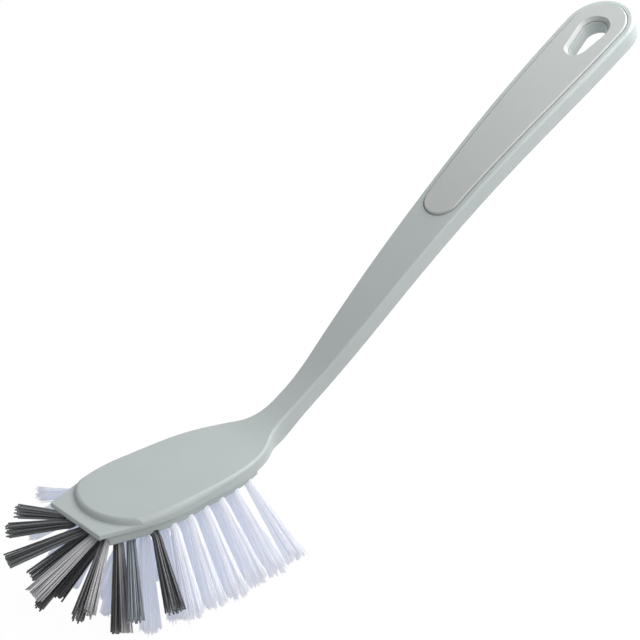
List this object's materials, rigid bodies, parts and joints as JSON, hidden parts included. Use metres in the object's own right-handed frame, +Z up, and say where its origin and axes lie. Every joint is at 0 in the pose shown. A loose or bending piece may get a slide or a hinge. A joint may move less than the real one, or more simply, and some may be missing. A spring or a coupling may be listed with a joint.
{
  "type": "dish brush",
  "caption": "Dish brush with a long tapered handle, oblong hang hole and raised grip panel, and a spoon-shaped head with a thin toe lip and fanned bristle tufts.",
  "frame": {"origin": "middle of the brush's box in plan, at the level of its lowest bristle tips", "axes": "+X from the toe of the head to the end of the grip, +Y to the far side of the picture, +Z up from the bristles to the head, with the head's flat top level"},
  "size_m": [0.2934, 0.0864, 0.1599],
  "materials": {
    "handle_plastic": "smooth satin moulding",
    "panel_plastic": "smooth satin moulding",
    "white_filament": "fine smooth filaments, slightly translucent",
    "dark_filament": "coarse smooth filaments",
    "black_filament": "coarse smooth filaments",
    "silver_filament": "coarse smooth filaments",
    "grey_filament": "coarse smooth filaments",
    "anchor_steel": "plain flat wire"
  },
  "bodies": {
    "root": {"far_inner_tuft_1": "white_filament", "far_inner_tuft_2": "white_filament", "far_inner_tuft_3": "white_filament", "far_inner_tuft_4": "white_filament", "far_inner_tuft_5": "white_filament", "far_inner_tuft_6": "white_filament", "far_tuft_1": "white_filament", "far_tuft_2": "white_filament", "far_tuft_3": "white_filament", "far_tuft_4": "white_filament", "far_tuft_5": "white_filament", "far_tuft_6": "white_filament", "far_tuft_7": "white_filament", "front_tuft_1": "dark_filament", "front_tuft_2": "dark_filament", "front_tuft_3": "dark_filament", "front_tuft_4": "silver_filament", "front_tuft_5": "silver_filament", "grip_panel": "panel_plastic", "handle": "handle_plastic", "middle_tuft_1": "white_filament", "middle_tuft_2": "white_filament", "middle_tuft_3": "white_filament", "middle_tuft_4": "white_filament", "middle_tuft_5": "white_filament", "middle_tuft_6": "white_filament", "near_inner_tuft_1": "white_filament", "near_inner_tuft_2": "white_filament", "near_inner_tuft_3": "white_filament", "near_inner_tuft_4": "white_filament", "near_inner_tuft_5": "white_filament", "near_inner_tuft_6": "white_filament", "near_tuft_1": "dark_filament", "near_tuft_2": "white_filament", "near_tuft_3": "white_filament", "near_tuft_4": "white_filament", "near_tuft_5": "white_filament", "near_tuft_6": "white_filament", "near_tuft_7": "white_filament", "second_tuft_1": "white_filament", "second_tuft_2": "white_filament", "second_tuft_3": "dark_filament", "second_tuft_4": "black_filament", "second_tuft_5": "dark_filament", "second_tuft_6": "grey_filament", "third_tuft_1": "white_filament", "third_tuft_2": "white_filament", "tuft_anchors": "anchor_steel"}
  },
  "joints": []
}
